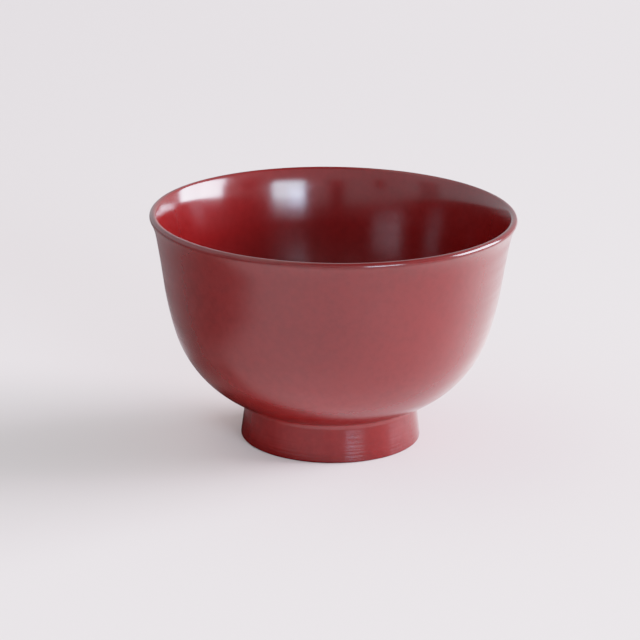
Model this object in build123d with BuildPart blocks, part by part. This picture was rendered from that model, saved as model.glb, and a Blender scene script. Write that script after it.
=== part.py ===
"""A turned wooden rice bowl on a foot ring, built up with cloth, ground and red lacquer coats.

Millimetres, +Z up. The origin is the centre of the foot's tread, on the surface the bowl stands on.

Every layer follows the same half section, so the finished surface is described once, as runs of tangent
strokes, and each layer is the film between two depths below it.
"""

import os
from dataclasses import dataclass
from math import cos, radians, sin

from build123d import *

# Overall size
rim_radius = 60.0
bowl_height = 76.3
lip_thickness = 2.4
lip_flare = 28.7  # lean of the wall from vertical, just under the lip

# Outside wall from the lip down: radius and turn of each arc
outer_flare = (17.0, 18.3)
outer_neck = (370.0, 2.4)
outer_shoulder = (113.0, 8.8)
outer_belly = (38.0, 52.5)

# Inside wall from the lip down, leaning in a little faster so that the wall thickens
inner_flare = (19.4, 17.0)
inner_neck = (400.0, 2.2)
inner_shoulder = (104.0, 9.8)
inner_belly = (33.0, 60.0)

# Foot ring
crease_radius = 0.4  # where the bowl's underside meets the foot
cove_radius = 4.5
cove_lean = 15.0  # lean of the cove's top, inwards going down
foot_lean = 7.2  # lean of the foot wall, outwards going down
edge_radius = 0.6  # rounding on both sides of the tread
tread_width = 2.2  # the flat that the bowl stands on
well_depth = 8.0  # hollow under the bowl, inside the foot ring
well_draft = 6.0
well_corner = 2.5

# Depths below the finished surface
lacquer_depth = 0.15
cloth_top_depth = 0.25
ground_depth = 0.45


@dataclass
class Run:
    """Tangent strokes along the finished surface of the half section, x outwards and y up.

    side is +1 where the material lies to the left of the heading and -1 where it lies to the right.
    A stroke is a (radius, turn) arc, with a positive turn where the surface is hollow and a negative
    one where it is crowned, or a straight (length, 0). Angles are in degrees.
    """

    start: Vector
    heading: float
    side: int
    strokes: list

    def after(self, count):
        """Where the run has got to after its first strokes, as a point and a heading."""
        point = self.start
        heading = self.heading
        for size, turn in self.strokes[:count]:
            turned = -self.side * turn
            travel = 2 * size * sin(radians(abs(turn) / 2)) if turn else size
            point = point + polar(travel, heading + turned / 2)
            heading += turned
        return point, heading

    def part(self, first, last):
        """The strokes from first up to last, as a run of their own."""
        point, heading = self.after(first)
        return Run(point, heading, self.side, self.strokes[first:last])

    def draw(self, depth):
        """Draws the run at a depth below the surface, and returns its two ends."""
        heading = self.heading
        first = self.start + polar(depth, heading + 90 * self.side)
        point = first
        for size, turn in self.strokes:
            if turn:
                radius = size + depth if turn > 0 else size - depth
                arc = JernArc(point, polar(1, heading), radius, -self.side * turn)
                point = arc @ 1
                heading -= self.side * turn
            else:
                straight = Line(point, point + polar(size, heading))
                point = straight @ 1
        return first, point


def polar(length, heading):
    """A vector of a length along a heading in degrees."""
    return Vector(length * cos(radians(heading)), length * sin(radians(heading)))


def film(run, shallow, deep):
    """The face between two depths below a run of the surface."""
    with BuildSketch() as section:
        with BuildLine():
            near_start, near_end = run.draw(shallow)
            far_start, far_end = run.draw(deep)
            Line(near_start, far_start)
            Line(near_end, far_end)
        make_face()
    return section.sketch


def inside_surface(lip_top):
    """The inside, from the top of the lip to the middle of the floor."""
    strokes = [
        (lip_thickness / 2, lip_flare - 90),
        (inner_flare[0], -inner_flare[1]),
        (inner_neck[0], -inner_neck[1]),
        inner_shoulder,
        inner_belly,
    ]
    belly_end, heading = Run(lip_top, 180, 1, strokes).after(len(strokes))
    floor_turn = heading - 180
    strokes.append((belly_end.X / sin(radians(floor_turn)), floor_turn))
    return Run(lip_top, 180, 1, strokes)


def outside_surface(lip_top):
    """The outside, from the top of the lip to the tread, where the foot's edge turns flat."""
    strokes = [
        (lip_thickness / 2, -lip_flare - 90),
        outer_flare,
        outer_neck,
        (outer_shoulder[0], -outer_shoulder[1]),
        (outer_belly[0], -outer_belly[1]),
    ]
    heading = Run(lip_top, 0, -1, strokes).after(len(strokes))[1]
    strokes.append((crease_radius, -90 - cove_lean - heading))
    strokes.append((cove_radius, cove_lean + foot_lean))
    wall_top = Run(lip_top, 0, -1, strokes).after(len(strokes))[0]
    edge_drop = edge_radius * (1 + sin(radians(foot_lean)))
    strokes.append(((wall_top.Y - edge_drop) / cos(radians(foot_lean)), 0))
    strokes.append((edge_radius, -90 - foot_lean))
    return Run(lip_top, 0, -1, strokes)


def well_surface(tread_end):
    """The hollow under the bowl, from the tread's inner edge to the middle of its roof."""
    rise = 1 - sin(radians(well_draft))
    wall = (well_depth - (edge_radius + well_corner) * rise) / cos(radians(well_draft))
    strokes = [
        (edge_radius, well_draft - 90),
        (wall, 0),
        (well_corner, 90 - well_draft),
    ]
    corner_end = Run(tread_end, 180, -1, strokes).after(len(strokes))[0]
    strokes.append((corner_end.X, 0))
    return Run(tread_end, 180, -1, strokes)


lip_top = Vector(rim_radius - lip_thickness / 2, bowl_height)
inside = inside_surface(lip_top)
outside = outside_surface(lip_top)
tread = Run(outside.after(len(outside.strokes))[0], 180, -1, [(tread_width, 0)])
well = well_surface(tread.after(1)[0])

# The stretches that the cloth covers: lip to neck, floor, and foot ring from cove to well wall
inside_rim = inside.part(0, 3)
outside_rim = outside.part(0, 3)
inside_plain = inside.part(3, 5)
outside_plain = outside.part(3, 6)
inside_floor = inside.part(5, 6)
foot_wall = outside.part(6, 9)
well_wall = well.part(0, 2)
well_roof = well.part(2, 4)

os.makedirs("parts", exist_ok=True)

# The bowl and its foot ring, turned from one block of wood
with BuildPart() as wood_core:
    with BuildSketch(Plane.XZ):
        with BuildLine():
            floor_middle = inside.draw(ground_depth)[1]
            outside.draw(ground_depth)
            tread.draw(ground_depth)
            roof_middle = well.draw(ground_depth)[1]
            Line(floor_middle, roof_middle)
        make_face()
    revolve(axis=Axis.Z)
wood_core.part.label = "wood_core"
export_step(wood_core.part, "parts/wood_core.step")

# Hemp cloth, glued over the places that take knocks and wear
with BuildPart() as rim_cloth:
    with BuildSketch(Plane.XZ):
        add(film(inside_rim, cloth_top_depth, ground_depth))
        add(film(outside_rim, cloth_top_depth, ground_depth))
    revolve(axis=Axis.Z)
rim_cloth.part.label = "rim_cloth"
export_step(rim_cloth.part, "parts/rim_cloth.step")

with BuildPart() as floor_cloth:
    with BuildSketch(Plane.XZ):
        add(film(inside_floor, cloth_top_depth, ground_depth))
    revolve(axis=Axis.Z)
floor_cloth.part.label = "floor_cloth"
export_step(floor_cloth.part, "parts/floor_cloth.step")

with BuildPart() as foot_cloth:
    with BuildSketch(Plane.XZ):
        add(film(foot_wall, cloth_top_depth, ground_depth))
        add(film(tread, cloth_top_depth, ground_depth))
        add(film(well_wall, cloth_top_depth, ground_depth))
    revolve(axis=Axis.Z)
foot_cloth.part.label = "foot_cloth"
export_step(foot_cloth.part, "parts/foot_cloth.step")

# Ground coats of lacquer and clay, thin over the cloth and thick where the wood is bare
with BuildPart() as inner_ground:
    with BuildSketch(Plane.XZ):
        add(film(inside, lacquer_depth, cloth_top_depth))
        add(film(inside_plain, cloth_top_depth, ground_depth))
    revolve(axis=Axis.Z)
inner_ground.part.label = "inner_ground"
export_step(inner_ground.part, "parts/inner_ground.step")

with BuildPart() as outer_ground:
    with BuildSketch(Plane.XZ):
        add(film(outside, lacquer_depth, cloth_top_depth))
        add(film(outside_plain, cloth_top_depth, ground_depth))
    revolve(axis=Axis.Z)
outer_ground.part.label = "outer_ground"
export_step(outer_ground.part, "parts/outer_ground.step")

with BuildPart() as foot_ground:
    with BuildSketch(Plane.XZ):
        add(film(tread, lacquer_depth, cloth_top_depth))
        add(film(well, lacquer_depth, cloth_top_depth))
        add(film(well_roof, cloth_top_depth, ground_depth))
    revolve(axis=Axis.Z)
foot_ground.part.label = "foot_ground"
export_step(foot_ground.part, "parts/foot_ground.step")

# Red top coats, each brushed on in its own pass
with BuildPart() as inner_lacquer:
    with BuildSketch(Plane.XZ):
        add(film(inside, 0, lacquer_depth))
    revolve(axis=Axis.Z)
inner_lacquer.part.label = "inner_lacquer"
export_step(inner_lacquer.part, "parts/inner_lacquer.step")

with BuildPart() as outer_lacquer:
    with BuildSketch(Plane.XZ):
        add(film(outside, 0, lacquer_depth))
    revolve(axis=Axis.Z)
outer_lacquer.part.label = "outer_lacquer"
export_step(outer_lacquer.part, "parts/outer_lacquer.step")

with BuildPart() as tread_lacquer:
    with BuildSketch(Plane.XZ):
        add(film(tread, 0, lacquer_depth))
    revolve(axis=Axis.Z)
tread_lacquer.part.label = "tread_lacquer"
export_step(tread_lacquer.part, "parts/tread_lacquer.step")

with BuildPart() as well_lacquer:
    with BuildSketch(Plane.XZ):
        add(film(well, 0, lacquer_depth))
    revolve(axis=Axis.Z)
well_lacquer.part.label = "well_lacquer"
export_step(well_lacquer.part, "parts/well_lacquer.step")
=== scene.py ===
"""Red lacquered rice bowl: looks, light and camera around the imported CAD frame. Metres, +Z up."""

import math

import bpy
import numpy as np
from mathutils import Matrix, Vector


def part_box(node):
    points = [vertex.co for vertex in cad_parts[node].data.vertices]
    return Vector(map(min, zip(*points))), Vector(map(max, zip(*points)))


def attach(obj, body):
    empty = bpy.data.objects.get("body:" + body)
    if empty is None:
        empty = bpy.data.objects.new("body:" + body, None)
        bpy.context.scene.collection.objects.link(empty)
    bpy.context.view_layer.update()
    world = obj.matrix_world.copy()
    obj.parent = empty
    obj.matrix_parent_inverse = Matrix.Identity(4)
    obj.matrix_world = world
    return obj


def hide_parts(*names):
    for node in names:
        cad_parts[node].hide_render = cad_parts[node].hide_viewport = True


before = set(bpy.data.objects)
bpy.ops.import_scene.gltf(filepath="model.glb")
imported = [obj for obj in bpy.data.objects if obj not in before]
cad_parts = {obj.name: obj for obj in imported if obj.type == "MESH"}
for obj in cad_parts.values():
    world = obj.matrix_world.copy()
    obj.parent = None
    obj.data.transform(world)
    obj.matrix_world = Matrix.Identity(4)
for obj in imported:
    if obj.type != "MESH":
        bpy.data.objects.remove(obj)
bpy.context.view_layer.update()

MM = 0.001

# The surface's driving sizes, as in the CAD: each arc is a radius and a turn in degrees
RIM_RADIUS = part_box("outer_lacquer")[1].x
BOWL_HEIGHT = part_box("outer_lacquer")[1].z
LACQUER_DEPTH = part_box("tread_lacquer")[1].z
LIP_RADIUS = 1.2 * MM
LIP_FLARE = 28.7
OUTER_WALL = [(17.0 * MM, 18.3), (370.0 * MM, 2.4), (113.0 * MM, -8.8), (38.0 * MM, -52.5)]
INNER_WALL = [(19.4 * MM, -17.0), (400.0 * MM, -2.2), (104.0 * MM, 9.8), (33.0 * MM, 60.0)]
CREASE_RADIUS = 0.4 * MM
COVE_RADIUS = 4.5 * MM
COVE_LEAN = 15.0
FOOT_LEAN = 7.2
EDGE_RADIUS = 0.6 * MM
TREAD_WIDTH = 2.2 * MM
WELL_DEPTH = 8.0 * MM
WELL_DRAFT = 6.0
WELL_CORNER = 2.5 * MM

# Mesh fineness
SEGMENTS = 256
BACK_STRIDE = 4  # the hidden back of a film takes every fourth row
LEAST_STEPS = 6  # in the shortest stroke
LIP_STEP = 0.12 * MM
WALL_STEP = 0.55 * MM
FOOT_STEP = 0.11 * MM
EDGE_STEP = 0.08 * MM
BLEND_LENGTH = 5.0 * MM  # over which one wall arc eases into the next

# Relief: height and usual length of its waves, and how far it stays from an edge
TURNING_HEIGHT = 0.006 * MM
TURNING_PITCH = 1.1 * MM
BRUSH_HEIGHT = 0.004 * MM
OUTER_BRUSH_PITCH = 6.0 * MM
INNER_BRUSH_PITCH = 7.0 * MM
BRUSH_LOBES = 3  # most waves that a brush mark makes round the bowl
PITCH_SPREAD = (0.6, 1.8)  # shortest and longest wave, as shares of the usual one
RELIEF_FADE = 1.0 * MM
LIP_CLEAR = 2.3 * MM
TREAD_CLEAR = 0.6 * MM
COVE_CLEAR = 1.6 * MM
FLOOR_CLEAR = 20.0 * MM  # radius within which the inside's relief dies away
BRUSH_DEPTH = 0.003 * MM  # of the brush lines in the lacquer's bump

# Camera, fitted to the picture's outline of the bowl: metres, radians, and millimetres for lens and sensor
CAMERA_BACK = 0.88036
CAMERA_UP = 0.32013
CAMERA_PAN = -0.004484
CAMERA_TILT = 0.30881
CAMERA_ROLL = 0.01309
CAMERA_LENS = 157.51
SENSOR_WIDTH = 36.0
CLIP = (0.05, 50)  # nearest and furthest that it sees

# Tone: shown brightness is 1 - exp(-light / TONE_SHOULDER), up to TONE_WHITE
TONE_SHOULDER = 0.63
TONE_WHITE = 4.0
# The light at each point of the curve
TONE_POINTS = (0.05, 0.1, 0.2, 0.35, 0.55, 0.8, 1.1, 1.5, 2.0, 2.6, 3.3)

# Lacquer's pattern, in features per metre
BRUSH_LINES = (9, 9, 420)  # long round the bowl and fine up its wall
FINE_MOTTLE = 420.0
BROAD_MOTTLE = 45.0
FINE_SHARE = 0.65  # of the pigment's mottling, the rest being broad
BRUSH_SHARE = 0.6  # of the polish's unevenness, the rest being fine
MID_NOISE = (0.35, 0.65)  # the middle of a noise's range, where most of it lies

# Other patterns: noises in features per metre, and wave textures in units of 3.2 waves per metre
WOOD_STRETCH = (0.15, 1, 1)  # draws the rings out along X
WOOD_RINGS = 90.0
WOOD_FIBRES = (60, 1800, 1800)
RING_SHARE = 0.6  # of the grain, the rest being fibres
CLOTH_THREADS = 125.0
CLOTH_SLUBS = 500.0
GROUND_GRAINS = 2600.0
GROUND_CLOUDS = 90.0
WIDE_NOISE = (0.3, 0.7)  # a wider stretch of a noise's range

# A fade is (from, to, value at from, value at to), held beyond its ends, or (from, to) to go from 0 to 1

# Room: bearings are degrees round the bowl from the camera, positive to the right
ROOM_FADE = (45.0, 70.0, 0.64, 0.15)  # brightness by elevation
ROOM_TINT = (0.98, 1.00, 1.07)
BACKDROP = (1.04, 0.98, 1.00)  # what the camera sees past the floor
SKY_MAP_SIZE = 1024  # of the map that aims light rays at the windows
# Each window is a colour and a patch: (bearing, width, low, high, side_edge, low_edge, high_edge)
WINDOWS = [
    ((12.5, 14.5, 17.5), (31.5, 22, 3, 18, 2.0, 1.5, 8.0)),
    ((5.0, 6.0, 12.0), (26.0, 9, 4, 9, 3.0, 1.5, 3.0)),
    ((24.0, 22.0, 26.0), (92.5, 20, 1, 28.5, 2.5, 3.0, 3.0)),
    ((18.0, 17.5, 20.5), (112.5, 20, 0, 30, 2.5, 3.0, 3.0)),
    ((0.20, 0.20, 0.22), (-95, 80, 8, 50, 15.0, 6.0, 15.0)),
    ((1.0, 0.85, 0.80), (-110, 110, 55, 80, 25.0, 12.0, 8.0)),
]
# Each darker stretch of wall is the share of its light that is left, and a patch
ROOM_SHADES = [
    (0.30, (-69, 16, 5, 27, 3.0, 3.0, 4.0)),
    (0.35, (-32, 7, 9, 24, 2.5, 2.5, 4.0)),
    (0.20, (-2, 10, 0, 20, 4.0, 3.0, 5.0)),
    (0.40, (60, 14, 5, 27, 4.0, 3.0, 4.0)),
]

# Floor: across is metres to the camera's right of the bowl's axis, depth is metres behind it
FLOOR_HALF = 6.0
FLOOR_DROP = 0.05 * MM  # below the tread, so that the two faces don't touch
FLOOR_PALE = (0.90, 0.84, 0.80)
FLOOR_ROUGHNESS = 0.9
FLOOR_SPECULAR = 0.1
# Painted light and shade as the camera sees the floor: paler to the right, where the windows are, and darker
# further back
PALE_ACROSS = (-0.35, 0.35, 0.93, 1.06)
PALE_DEPTH = (-0.2, 0.6, 1.0, 0.90)
# Painted shade for mirror rays: the lacquer mirrors a floor that is darker on the left and beside the foot,
# where the hand was
DIM_ACROSS = (-0.10, -0.055, 0.26, 1.0)
DIM_LEAN = 0.35  # how far left the dim side draws back for each metre nearer the camera
FOOT_SHADE_CENTRE = (-0.015, -0.002)
FOOT_SHADE_AWAY = (0.028, 0.039, 0.05, 1.0)
LEFT_SHADE = 0.28  # share of light left in the painted shade under the left of the belly
LEFT_SHADE_ACROSS = (-0.015, -0.030)
LEFT_SHADE_AWAY = (0.10, 0.07)
LEFT_SHADE_DEPTH = (-0.041, -0.031)
# Painted light: the lacquer mirrors a glow that the floor gives off on its right
GLOW_TINT = (1.0, 0.97, 0.97)
GLOW_ACROSS = (0.0, 0.08, 0.0, 0.5)
GLOW_DEPTH = (-0.07, 0.04, 0.3, 1.55)
GLOW_BACK = (0.08, 0.16, 1.0, 0.5)
GLOW_AWAY = (0.15, 0.32, 1.0, 0.0)
# Painted light: the floor round the foot glows for diffuse rays only, throwing more light up under the belly
BOUNCE_START = (0.034, 0.046)
BOUNCE_AWAY = (0.098, 0.062, 0.0, 2.7)


# ---------------------------------------------------------------- surface outline


def stroke_points(start, heading, side, strokes, spacing):
    """Points and headings along tangent strokes. A positive turn is hollow, a negative one crowned."""
    points = [np.array(start, float)]
    headings = [heading]
    for size, turn in strokes:
        length = size * abs(math.radians(turn)) if turn else size
        count = max(LEAST_STEPS, int(math.ceil(length / spacing)))
        share = np.arange(1, count + 1) / count
        turned = -side * turn * share
        travel = 2 * size * np.sin(np.abs(np.radians(turned)) / 2) if turn else size * share
        angle = np.radians(heading + turned / 2)
        points += list(points[-1] + np.stack([travel * np.cos(angle), travel * np.sin(angle)], axis=1))
        headings += list(heading + turned)
        heading = headings[-1]
    return np.array(points), np.array(headings)


def eased(points, headings):
    """The same run with its curvature blended from arc to arc, ending where it did."""
    along = np.concatenate([[0], np.cumsum(np.linalg.norm(np.diff(points, axis=0), axis=1))])
    fine = np.linspace(0, along[-1], len(points))
    step = fine[1]
    turn = np.interp(fine, along, headings)
    half = int(BLEND_LENGTH / step / 2)
    lead = turn[0] - (turn[1] - turn[0]) * np.arange(half, 0, -1)
    trail = turn[-1] + (turn[-1] - turn[-2]) * np.arange(1, half + 1)
    kernel = np.hanning(2 * half + 3)[1:-1]
    smooth = np.convolve(np.concatenate([lead, turn, trail]), kernel / kernel.sum(), "valid")
    middle = np.radians((smooth[1:] + smooth[:-1]) / 2)
    steps = step * np.stack([np.cos(middle), np.sin(middle)], axis=1)
    path = points[0] + np.concatenate([[[0, 0]], np.cumsum(steps, axis=0)])
    path += np.outer(fine / fine[-1], points[-1] - path[-1])
    return path, smooth


def joined(*runs):
    """Runs laid end to end, without the doubled points."""
    points = np.concatenate([runs[0][0]] + [r[0][1:] for r in runs[1:]])
    headings = np.concatenate([runs[0][1]] + [r[1][1:] for r in runs[1:]])
    return points, headings


def inside_outline():
    """The inside from the top of the lip to the middle of the floor."""
    lip_top = (RIM_RADIUS - LIP_RADIUS, BOWL_HEIGHT)
    lip = stroke_points(lip_top, 180, 1, [(LIP_RADIUS, LIP_FLARE - 90)], LIP_STEP)
    belly = stroke_points(lip[0][-1], lip[1][-1], 1, INNER_WALL, WALL_STEP)
    floor_turn = belly[1][-1] - 180
    floor_arc = (belly[0][-1][0] / math.sin(math.radians(floor_turn)), floor_turn)
    wall = stroke_points(lip[0][-1], lip[1][-1], 1, INNER_WALL + [floor_arc], WALL_STEP)
    points, headings = joined(lip, eased(*wall))
    points[-1][0] = 0.0
    return points, headings


def outside_outline():
    """The outside from lip to tread, and the height where the foot's cove begins."""
    lip_top = (RIM_RADIUS - LIP_RADIUS, BOWL_HEIGHT)
    lip = stroke_points(lip_top, 0, -1, [(LIP_RADIUS, -LIP_FLARE - 90)], LIP_STEP)
    wall = eased(*stroke_points(lip[0][-1], lip[1][-1], -1, OUTER_WALL, WALL_STEP))
    crease_turn = -90 - COVE_LEAN - wall[1][-1]
    crease = stroke_points(wall[0][-1], wall[1][-1], -1, [(CREASE_RADIUS, crease_turn)], EDGE_STEP)
    cove_turn = COVE_LEAN + FOOT_LEAN
    cove = stroke_points(crease[0][-1], crease[1][-1], -1, [(COVE_RADIUS, cove_turn)], FOOT_STEP)
    edge_drop = EDGE_RADIUS * (1 + math.sin(math.radians(FOOT_LEAN)))
    wall_length = (cove[0][-1][1] - edge_drop) / math.cos(math.radians(FOOT_LEAN))
    foot = stroke_points(cove[0][-1], cove[1][-1], -1, [(wall_length, 0)], FOOT_STEP)
    edge = stroke_points(foot[0][-1], foot[1][-1], -1, [(EDGE_RADIUS, -90 - FOOT_LEAN)], EDGE_STEP)
    return joined(lip, wall, crease, cove, foot, edge), crease[0][-1][1]


def tread_outline(start):
    return stroke_points(start, 180, -1, [(TREAD_WIDTH, 0)], WALL_STEP)


def well_outline(start):
    """The hollow under the bowl, from the tread's inner edge to the middle of its roof."""
    rise = 1 - math.sin(math.radians(WELL_DRAFT))
    wall = (WELL_DEPTH - (EDGE_RADIUS + WELL_CORNER) * rise) / math.cos(math.radians(WELL_DRAFT))
    edge = stroke_points(start, 180, -1, [(EDGE_RADIUS, WELL_DRAFT - 90)], EDGE_STEP)
    strokes = [(wall, 0), (WELL_CORNER, 90 - WELL_DRAFT)]
    side = stroke_points(edge[0][-1], edge[1][-1], -1, strokes, WALL_STEP)
    roof = stroke_points(side[0][-1], side[1][-1], -1, [(side[0][-1][0], 0)], WALL_STEP)
    points, headings = joined(edge, side, roof)
    points[-1][0] = 0.0
    return points, headings


# ---------------------------------------------------------------- lathe-made shells


def waves(along, around, seed, count, pitch, most_lobes):
    """A smooth uneven field over the surface, mostly between -1 and 1, from a sum of random waves.

    Each wave runs along the outline, and has up to the given number of lobes round the bowl.
    """
    rng = np.random.default_rng(seed)
    field = np.zeros(np.broadcast(along, around).shape)
    for _ in range(count):
        length = pitch * rng.uniform(*PITCH_SPREAD)
        lobes = rng.integers(0, most_lobes + 1)
        start = rng.uniform(0, 2 * math.pi)
        field = field + np.sin(along * 2 * math.pi / length + lobes * around + start)
    return field / math.sqrt(count)


def shell(name, outline, side, relief):
    """A closed film of lacquer: the outline turned round Z, with relief in metres out of its surface."""
    points, headings = outline
    inward = np.radians(headings + 90 * side)
    normal = np.stack([-np.cos(inward), -np.sin(inward)], axis=1)
    along = np.concatenate([[0], np.cumsum(np.linalg.norm(np.diff(points, axis=0), axis=1))])
    angles = np.linspace(0, 2 * math.pi, SEGMENTS, endpoint=False)
    lift = relief(along[:, None], angles[None, :], points)
    front = points[:, None, :] + lift[:, :, None] * normal[:, None, :]
    kept = sorted({*range(0, len(points), BACK_STRIDE), len(points) - 1}, reverse=True)
    under = (points - LACQUER_DEPTH * normal)[kept]
    rings = np.concatenate([front, np.broadcast_to(under[:, None, :], (len(kept), SEGMENTS, 2))])
    radius, height = rings[:, :, 0], rings[:, :, 1]
    corners = np.stack([radius * np.cos(angles), radius * np.sin(angles), height], axis=2)
    # Rows run along the front of the film, then back along its hidden side
    back = len(points)
    poles = (back - 1, back) if points[-1][0] == 0.0 else ()
    vertices = []
    index = np.zeros((len(rings), SEGMENTS), int)
    for row in range(len(rings)):
        if row in poles:
            index[row] = len(vertices)
            vertices.append((0.0, 0.0, float(corners[row, :, 2].mean())))
        else:
            index[row] = len(vertices) + np.arange(SEGMENTS)
            vertices += corners[row].tolist()
    faces = []
    for row in range(len(rings)):
        if poles and row == back - 1:
            continue
        near, far = index[row], index[(row + 1) % len(rings)]
        band = np.stack([near, np.roll(near, -1), np.roll(far, -1), far], axis=1)[:, ::side]
        faces += [list(dict.fromkeys(face)) for face in band.tolist()]
    mesh = bpy.data.meshes.new(name)
    mesh.from_pydata(vertices, [], faces)
    mesh.validate()
    mesh.polygons.foreach_set("use_smooth", [True] * len(mesh.polygons))
    # The film's ends are sharp, and the rest of it is smooth
    ends = (0, len(rings) - 1) if poles else (0, back - 1, back, len(rings) - 1)
    row_of = np.full(len(vertices), -1)
    for row in ends:
        row_of[index[row]] = row
    pairs = np.zeros(2 * len(mesh.edges), int)
    mesh.edges.foreach_get("vertices", pairs)
    pairs = row_of[pairs.reshape(-1, 2)]
    mesh.edges.foreach_set("use_edge_sharp", (pairs[:, 0] >= 0) & (pairs[:, 0] == pairs[:, 1]))
    piece = bpy.data.objects.new(name, mesh)
    bpy.context.scene.collection.objects.link(piece)
    return piece


def faded(points, low, high):
    """1 well between two heights on the outline, easing to 0 at each over the relief's fade."""
    z = points[:, 1][:, None]
    rise = np.clip((z - low) / RELIEF_FADE, 0, 1)
    fall = np.clip((high - z) / RELIEF_FADE, 0, 1)
    return rise * rise * (3 - 2 * rise) * fall * fall * (3 - 2 * fall)


def outer_relief(along, around, points):
    """Level turning lines round the foot, and brushed waves on the wall."""
    foot = faded(points, TREAD_CLEAR, foot_top - COVE_CLEAR)
    wall = faded(points, foot_top + RELIEF_FADE, BOWL_HEIGHT - LIP_CLEAR)
    turning = waves(along, around, seed=3, count=12, pitch=TURNING_PITCH, most_lobes=0)
    brush = waves(along, around, seed=5, count=14, pitch=OUTER_BRUSH_PITCH, most_lobes=BRUSH_LOBES)
    return foot * TURNING_HEIGHT * turning + wall * BRUSH_HEIGHT * brush


def inner_relief(along, around, points):
    """Brushed waves, dying away at the lip and towards the middle of the floor."""
    wall = faded(points, 0.0, BOWL_HEIGHT - LIP_CLEAR)
    middle = np.clip(points[:, 0][:, None] / FLOOR_CLEAR, 0, 1)
    brush = waves(along, around, seed=7, count=14, pitch=INNER_BRUSH_PITCH, most_lobes=BRUSH_LOBES)
    return wall * middle * BRUSH_HEIGHT * brush


def no_relief(along, around, points):
    return np.zeros(np.broadcast(along, around).shape)


# ---------------------------------------------------------------- materials


class Graph:
    """A node tree with short calls that add a node and wire it up."""

    def __init__(self, tree):
        self.tree = tree

    def add(self, kind, inputs=None, **settings):
        node = self.tree.nodes.new(kind)
        for name, value in settings.items():
            setattr(node, name, value)
        for socket, value in (inputs or {}).items():
            self.give(node.inputs[socket], value)
        return node

    def give(self, socket, value):
        if isinstance(value, bpy.types.NodeSocket):
            self.tree.links.new(value, socket)
        else:
            socket.default_value = value

    def maths(self, operation, *values):
        return self.add("ShaderNodeMath", dict(enumerate(values)), operation=operation).outputs[0]

    def vector(self, operation, *values):
        node = self.add("ShaderNodeVectorMath", dict(enumerate(values)), operation=operation)
        return node.outputs["Value" if operation == "DOT_PRODUCT" else "Vector"]

    def scaled(self, vector, amount):
        node = self.add("ShaderNodeVectorMath", {0: vector, "Scale": amount}, operation="SCALE")
        return node.outputs["Vector"]

    def product(self, *values):
        result = values[0]
        for value in values[1:]:
            result = self.maths("MULTIPLY", result, value)
        return result

    def mixture(self, share, first, second):
        """A share of the first value and the rest of the second."""
        part = self.maths("MULTIPLY", first, share)
        rest = self.maths("MULTIPLY", second, 1 - share)
        return self.maths("ADD", part, rest)

    def spread(self, value, low, high, to_low=0.0, to_high=1.0, ease="SMOOTHSTEP"):
        """value carried from low..high to to_low..to_high, held at the ends."""
        sockets = {"Value": value, "From Min": low, "From Max": high, "To Min": to_low, "To Max": to_high}
        node = self.add("ShaderNodeMapRange", sockets, interpolation_type=ease)
        return node.outputs["Result"]

    def noise(self, place, scale, detail=4.0, roughness=0.55):
        """Uneven noise, with scale in features per metre, one number or three."""
        if isinstance(scale, tuple):
            place = self.vector("MULTIPLY", place, scale)
            scale = 1.0
        sockets = {"Vector": place, "Scale": scale, "Detail": detail, "Roughness": roughness}
        return self.add("ShaderNodeTexNoise", sockets).outputs["Fac"]

    def blend(self, share, first, second):
        """The first colour where share is 0 and the second where it is 1. Each is a tuple or a socket."""
        first, second = [(*c, 1) if isinstance(c, tuple) else c for c in (first, second)]
        node = self.add("ShaderNodeMix", {"Factor": share, 6: first, 7: second}, data_type="RGBA")
        return node.outputs[2]

    def bump(self, height, depth):
        sockets = {"Height": height, "Distance": depth, "Strength": 1.0}
        return self.add("ShaderNodeBump", sockets).outputs["Normal"]


def new_material(name):
    material = bpy.data.materials.new(name)
    material.use_nodes = True
    graph = Graph(material.node_tree)
    place = graph.add("ShaderNodeTexCoord").outputs["Object"]
    return material, graph, place, material.node_tree.nodes["Principled BSDF"]


def lacquer(name, dark, light, polish, ior, anisotropy):
    """Red lacquer: pigment mottling, brush lines round the bowl, and a polish between two roughnesses."""
    material, graph, place, surface = new_material(name)
    brush = graph.noise(place, BRUSH_LINES, 1.0)
    fine = graph.noise(place, FINE_MOTTLE, 5.0, 0.6)
    broad = graph.noise(place, BROAD_MOTTLE, 2.0, 0.5)
    mottle = graph.mixture(FINE_SHARE, fine, broad)
    graph.give(surface.inputs["Base Color"], graph.blend(graph.spread(mottle, *MID_NOISE), dark, light))
    uneven = graph.mixture(BRUSH_SHARE, brush, fine)
    graph.give(surface.inputs["Roughness"], graph.spread(uneven, *MID_NOISE, *polish))
    graph.give(surface.inputs["Normal"], graph.bump(brush, BRUSH_DEPTH))
    surface.inputs["IOR"].default_value = ior
    if anisotropy:
        tangent = graph.add("ShaderNodeTangent", direction_type="RADIAL", axis="Z")
        graph.give(surface.inputs["Tangent"], tangent.outputs["Tangent"])
        surface.inputs["Anisotropic"].default_value = anisotropy
        surface.inputs["Anisotropic Rotation"].default_value = 0.25
    return material


def turned_wood():
    """Pale close-grained wood, with its fibres along X and its growth rings round X."""
    material, graph, place, surface = new_material("turned_wood")
    sockets = {
        "Vector": graph.vector("MULTIPLY", place, WOOD_STRETCH),
        "Scale": WOOD_RINGS,
        "Distortion": 3.0,
        "Detail": 3.0,
        "Detail Scale": 1.4,
    }
    wave = graph.add("ShaderNodeTexWave", sockets, wave_type="RINGS", rings_direction="X")
    rings = wave.outputs["Fac"]
    fibres = graph.noise(place, WOOD_FIBRES, 4.0)
    grain = graph.mixture(RING_SHARE, rings, fibres)
    graph.give(surface.inputs["Base Color"], graph.blend(grain, (0.36, 0.20, 0.09), (0.58, 0.38, 0.20)))
    graph.give(surface.inputs["Roughness"], graph.spread(fibres, *WIDE_NOISE, 0.5, 0.7))
    graph.give(surface.inputs["Normal"], graph.bump(fibres, 0.05 * MM))
    return material


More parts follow.
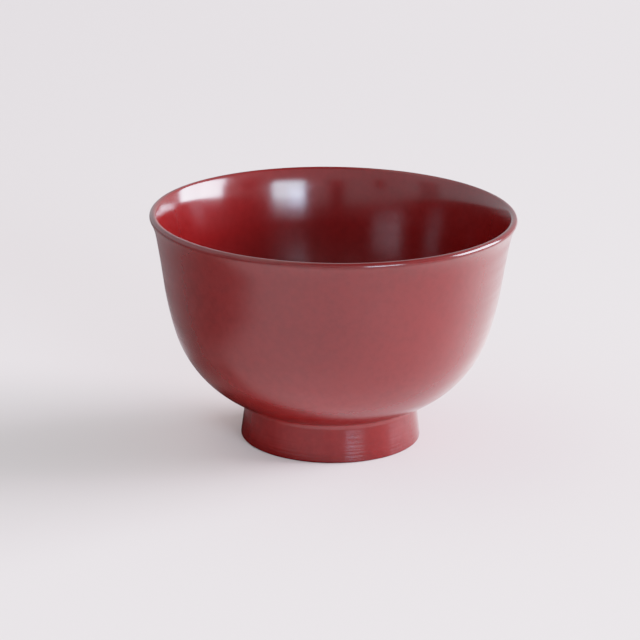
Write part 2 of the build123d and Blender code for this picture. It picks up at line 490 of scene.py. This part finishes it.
def hemp_cloth():
    """Plain-woven hemp soaked in lacquer, about four threads to the centimetre."""
    material, graph, place, surface = new_material("hemp_cloth")
    threads = []
    for direction in ("X", "Y", "Z"):
        sockets = {"Vector": place, "Scale": CLOTH_THREADS, "Distortion": 0.6, "Detail": 2.0}
        wave = graph.add("ShaderNodeTexWave", sockets, wave_type="BANDS", bands_direction=direction)
        threads.append(wave.outputs["Fac"])
    weave = graph.maths("MAXIMUM", graph.maths("MAXIMUM", threads[0], threads[1]), threads[2])
    slub = graph.noise(place, CLOTH_SLUBS)
    graph.give(surface.inputs["Base Color"], graph.blend(slub, (0.20, 0.13, 0.07), (0.36, 0.27, 0.16)))
    graph.give(surface.inputs["Roughness"], graph.spread(slub, *WIDE_NOISE, 0.7, 0.9))
    graph.give(surface.inputs["Normal"], graph.bump(weave, 0.15 * MM))
    return material


def clay_ground():
    """The undercoat of lacquer and fired clay: dark, dense and finely sanded."""
    material, graph, place, surface = new_material("clay_ground")
    grains = graph.noise(place, GROUND_GRAINS, 3.0)
    clouds = graph.noise(place, GROUND_CLOUDS, 4.0)
    graph.give(surface.inputs["Base Color"], graph.blend(clouds, (0.025, 0.018, 0.014), (0.06, 0.045, 0.035)))
    graph.give(surface.inputs["Roughness"], graph.spread(grains, *WIDE_NOISE, 0.65, 0.85))
    graph.give(surface.inputs["Normal"], graph.bump(grains, 0.02 * MM))
    return material


def paint(piece, *materials):
    piece.data.materials.clear()
    for material in materials:
        piece.data.materials.append(material)


# ---------------------------------------------------------------- studio


def make_camera():
    """The camera at the picture's place, turned by its pan, tilt and roll in radians."""
    lens = bpy.data.cameras.new("camera")
    lens.lens = CAMERA_LENS
    lens.sensor_fit = "HORIZONTAL"
    lens.sensor_width = SENSOR_WIDTH
    lens.clip_start, lens.clip_end = CLIP
    camera = bpy.data.objects.new("camera", lens)
    bpy.context.scene.collection.objects.link(camera)
    forward = Vector((
        math.sin(CAMERA_PAN) * math.cos(CAMERA_TILT),
        math.cos(CAMERA_PAN) * math.cos(CAMERA_TILT),
        -math.sin(CAMERA_TILT),
    ))
    level = Vector((math.cos(CAMERA_PAN), -math.sin(CAMERA_PAN), 0))
    above = level.cross(forward)
    right = math.cos(CAMERA_ROLL) * level + math.sin(CAMERA_ROLL) * above
    up = -math.sin(CAMERA_ROLL) * level + math.cos(CAMERA_ROLL) * above
    turn = Matrix((right, up, -forward)).transposed().to_4x4()
    camera.matrix_world = Matrix.Translation((0, -CAMERA_BACK, CAMERA_UP)) @ turn
    bpy.context.scene.camera = camera


def make_floor():
    """A plain pale floor with painted light and shade: paler to the right and darker further back, and near
    the bowl a painted shade and painted glow for mirror rays and painted bounce light for diffuse rays.
    """
    half, low = FLOOR_HALF, -FLOOR_DROP
    corners = [(-half, -half, low), (half, -half, low), (half, half, low), (-half, half, low)]
    mesh = bpy.data.meshes.new("floor")
    mesh.from_pydata(corners, [], [(0, 1, 2, 3)])
    floor = bpy.data.objects.new("floor", mesh)
    bpy.context.scene.collection.objects.link(floor)
    material, graph, place, surface = new_material("floor_paint")
    apart = graph.add("ShaderNodeSeparateXYZ", {0: place}).outputs
    across, depth = apart["X"], apart["Y"]

    def reach(x, y):
        """Distance from a place on the floor."""
        beside = graph.vector("ADD", place, (-x, -y, 0.0))
        node = graph.add("ShaderNodeVectorMath", {0: beside}, operation="LENGTH")
        return node.outputs["Value"]

    away = reach(0.0, 0.0)
    rays = graph.add("ShaderNodeLightPath").outputs
    mirrored = rays["Is Glossy Ray"]

    # Painted shade: mirror rays see the floor darker on the left, under the left of the belly and beside the
    # foot
    ahead = graph.maths("MAXIMUM", graph.maths("MULTIPLY", depth, -1.0), 0.0)
    leaning = graph.maths("ADD", across, graph.maths("MULTIPLY", ahead, DIM_LEAN))
    left = graph.product(
        graph.spread(across, *LEFT_SHADE_ACROSS),
        graph.spread(away, *LEFT_SHADE_AWAY),
        graph.spread(depth, *LEFT_SHADE_DEPTH),
    )
    shade = graph.product(
        graph.spread(leaning, *DIM_ACROSS),
        graph.spread(reach(*FOOT_SHADE_CENTRE), *FOOT_SHADE_AWAY),
        graph.spread(left, 0.0, 1.0, 1.0, LEFT_SHADE, "LINEAR"),
    )
    # Painted light and shade: the floor the camera sees runs paler to the right and darker further back
    pale = graph.scaled(FLOOR_PALE, graph.spread(across, *PALE_ACROSS))
    pale = graph.scaled(pale, graph.spread(depth, *PALE_DEPTH))
    colour = graph.blend(mirrored, pale, graph.scaled(FLOOR_PALE, shade))

    # Painted light: a glow on the right of the floor that only mirror rays see
    glow = graph.product(
        mirrored,
        graph.spread(across, *GLOW_ACROSS),
        graph.spread(depth, *GLOW_DEPTH),
        graph.spread(depth, *GLOW_BACK),
        graph.spread(away, *GLOW_AWAY),
    )
    # Painted bounce light: emission round the foot that only diffuse rays see
    bounce = graph.product(
        rays["Is Diffuse Ray"],
        graph.spread(away, *BOUNCE_START),
        graph.spread(away, *BOUNCE_AWAY),
    )
    graph.give(surface.inputs["Base Color"], colour)
    graph.give(surface.inputs["Emission Strength"], graph.maths("ADD", glow, bounce))
    surface.inputs["Emission Color"].default_value = (*GLOW_TINT, 1)
    surface.inputs["Roughness"].default_value = FLOOR_ROUGHNESS
    surface.inputs["Specular IOR Level"].default_value = FLOOR_SPECULAR
    paint(floor, material)


def make_world():
    """A quiet room with soft-edged windows, drawn by bearing and elevation round the bowl."""
    world = bpy.data.worlds.new("room")
    bpy.context.scene.world = world
    world.use_nodes = True
    graph = Graph(world.node_tree)
    way = graph.add("ShaderNodeTexCoord").outputs["Generated"]
    rise = graph.add("ShaderNodeSeparateXYZ", {0: way}).outputs["Z"]
    elevation = graph.maths("DEGREES", graph.maths("ARCSINE", rise))
    level = graph.maths("SQRT", graph.maths("SUBTRACT", 1.0, graph.maths("MULTIPLY", rise, rise)))

    def patch(bearing, width, low, high, side_edge, low_edge, high_edge):
        """1 inside a rectangle of the room's wall, with soft edges; all in degrees."""
        angle = math.radians(bearing)
        along = graph.vector("DOT_PRODUCT", way, (math.sin(angle), -math.cos(angle), 0))
        apart = graph.maths("DEGREES", graph.maths("ARCCOSINE", graph.maths("DIVIDE", along, level)))
        sides = graph.spread(apart, width / 2 + side_edge, width / 2 - side_edge)
        foot = graph.spread(elevation, low - low_edge, low + low_edge)
        head = graph.spread(elevation, high + high_edge, high - high_edge)
        return graph.product(sides, foot, head)

    room = graph.spread(elevation, *ROOM_FADE)
    for share, where in ROOM_SHADES:
        room = graph.product(room, graph.spread(patch(*where), 0, 1, 1.0, share, "LINEAR"))
    light = graph.scaled(ROOM_TINT, room)
    for colour, where in WINDOWS:
        light = graph.vector("ADD", light, graph.scaled(colour, patch(*where)))
    seen = graph.add("ShaderNodeLightPath").outputs["Is Camera Ray"]
    background = world.node_tree.nodes["Background"]
    graph.give(background.inputs["Color"], graph.blend(seen, light, BACKDROP))
    world.cycles.sampling_method = "MANUAL"
    world.cycles.sample_map_resolution = SKY_MAP_SIZE


def set_tone():
    """A film-like tone curve: straight in the shadows, with a long shoulder that holds the pale floor."""
    settings = bpy.context.scene.view_settings
    settings.view_transform = "Standard"
    settings.look = "None"
    settings.use_curve_mapping = True
    mapping = settings.curve_mapping
    mapping.white_level = (TONE_WHITE,) * 3
    mapping.extend = "HORIZONTAL"
    curve = mapping.curves[3]  # the one that bends all three colours
    for light in TONE_POINTS:
        curve.points.new(light / TONE_WHITE, 1 - math.exp(-light / TONE_SHOULDER))
    mapping.update()


# ---------------------------------------------------------------- building


inside = inside_outline()
outside, foot_top = outside_outline()
lip_foot = BOWL_HEIGHT - LIP_RADIUS * (1 + math.sin(math.radians(LIP_FLARE)))
cove_foot = foot_top - COVE_RADIUS * math.sin(math.radians(COVE_LEAN))  # the foot's narrowest place
tread = tread_outline(outside[0][-1])
well = well_outline(tread[0][-1])

inner = shell("bowl_inside", inside, 1, inner_relief)
outer = shell("bowl_outside", outside, -1, outer_relief)
ring = shell("foot_tread_ring", tread, -1, no_relief)
hollow = shell("foot_hollow", well, -1, no_relief)

# Darkest and lightest colour, smoothest and roughest polish, index of refraction, anisotropy
gloss = lacquer("lacquer_inside", (0.122, 0.0038, 0.0038), (0.145, 0.0050, 0.0050), (0.13, 0.17), 1.50, 0)
satin = lacquer("lacquer_outside", (0.114, 0.0044, 0.0040), (0.136, 0.0056, 0.0052), (0.20, 0.27), 1.53, 0.3)
turned = lacquer("lacquer_foot", (0.096, 0.0032, 0.0030), (0.115, 0.0043, 0.0040), (0.16, 0.20), 1.36, 0.8)
edge = lacquer("lacquer_lip", (0.096, 0.0048, 0.0044), (0.116, 0.0060, 0.0056), (0.08, 0.12), 1.46, 0)
paint(inner, gloss)
paint(outer, satin, turned, edge)
paint(ring, turned)
paint(hollow, satin)
# The foot below the cove takes the second material, and the lip the third
for face in outer.data.polygons:
    if face.center.z < cove_foot:
        face.material_index = 1
    elif face.center.z > lip_foot:
        face.material_index = 2

shown_for = (
    (inner, "inner_lacquer"),
    (outer, "outer_lacquer"),
    (ring, "tread_lacquer"),
    (hollow, "well_lacquer"),
)
for piece, node in shown_for:
    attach(piece, "root")
    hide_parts(node)

wood, cloth, ground = turned_wood(), hemp_cloth(), clay_ground()
paint(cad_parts["wood_core"], wood)
for node in ("rim_cloth", "floor_cloth", "foot_cloth"):
    paint(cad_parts[node], cloth)
for node in ("inner_ground", "outer_ground", "foot_ground"):
    paint(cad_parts[node], ground)

make_camera()
make_floor()
make_world()
set_tone()
